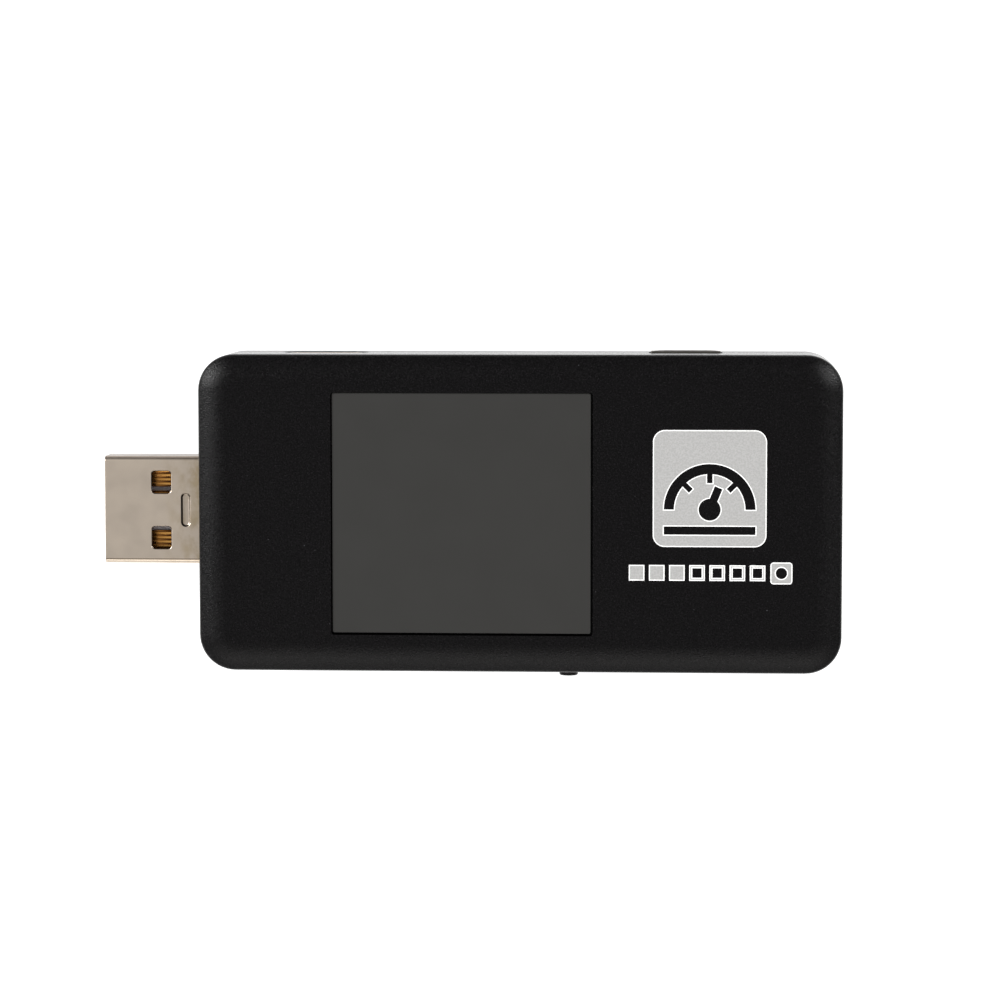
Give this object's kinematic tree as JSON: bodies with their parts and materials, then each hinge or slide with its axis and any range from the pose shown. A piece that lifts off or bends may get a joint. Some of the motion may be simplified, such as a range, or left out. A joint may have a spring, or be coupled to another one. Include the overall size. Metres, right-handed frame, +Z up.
{
  "type": "usb power meter",
  "caption": "Pocket USB power meter: black two-part case with a square screen, a USB-A plug at one end, a USB-A socket at the other, two small side sockets and a menu button.",
  "frame": {"origin": "centre of the flat underside of the case", "axes": "+X towards the USB-A socket end, +Y towards the side with the USB-C and micro-USB sockets, +Z up through the screen; the plug points along -X"},
  "size_m": [0.0818, 0.0361, 0.0134],
  "materials": {
    "case_plastic": "fine moulded grain, matte",
    "button_plastic": "satin",
    "screw_steel": "black zinc, satin",
    "dark_lens": "anti-glare, dark grey",
    "black_tape": "adhesive tape",
    "silver_ink": "fine silver print",
    "board_green": "solder mask",
    "sheet_steel": "plain sheet",
    "white_plastic": "light guide",
    "panel_glass": "display glass",
    "amber_film": "polyimide film",
    "black_nylon": "moulded",
    "nickel": "nickel plate, satin",
    "gold": "gold plate",
    "grey_insulator": "moulded",
    "chip_black": "moulded chip body",
    "ferrite": "pressed powder",
    "ceramic": "fired ceramic",
    "tin": "tinned"
  },
  "bodies": {
    "case": {"top_cover": "case_plastic", "bottom_cover": "case_plastic", "case_screws": "screw_steel", "screen_lens": "dark_lens", "lens_tape": "black_tape", "front_print": "silver_ink", "main_board": "board_green", "lcd_tray": "sheet_steel", "lcd_backlight": "white_plastic", "lcd_rear_glass": "panel_glass", "lcd_front_glass": "panel_glass", "lcd_polarizer": "dark_lens", "lcd_tape": "black_tape", "lcd_flex": "amber_film", "switch_base": "black_nylon", "switch_dome": "sheet_steel", "switch_cover": "sheet_steel", "switch_terminals": "tin", "plug_shell": "nickel", "plug_tongue": "grey_insulator", "plug_contacts": "gold", "socket_a_shell": "nickel", "socket_a_tongue": "grey_insulator", "socket_a_contacts": "gold", "socket_c_shell": "nickel", "socket_c_tongue": "black_nylon", "socket_c_contacts": "gold", "micro_b_shell": "nickel", "micro_b_tongue": "black_nylon", "micro_b_contacts": "gold", "microcontroller": "chip_black", "meter_chip": "chip_black", "port_chip": "chip_black", "memory_chip": "chip_black", "voltage_regulator": "chip_black", "power_inductor": "ferrite", "current_shunt": "chip_black", "crystal": "tin", "chip_capacitors": "ceramic", "chip_resistors": "chip_black"},
    "menu_button": {"menu_button": "button_plastic"},
    "switch_plunger": {"switch_plunger": "black_nylon"}
  },
  "joints": [
    {"name": "button_press", "type": "slide", "parent": "case", "child": "menu_button", "axis": [0, 1, 0], "range_m": [0, 0.00025], "stiffness_N_per_m": 6000, "deforming": ["switch_dome"]},
    {"name": "plunger_press", "type": "slide", "parent": "case", "child": "switch_plunger", "axis": [0, 1, 0], "range_m": [0, 0.00025]}
  ],
  "couplings": [
    {"joint": "plunger_press", "follows": "button_press", "ratio": 1}
  ]
}
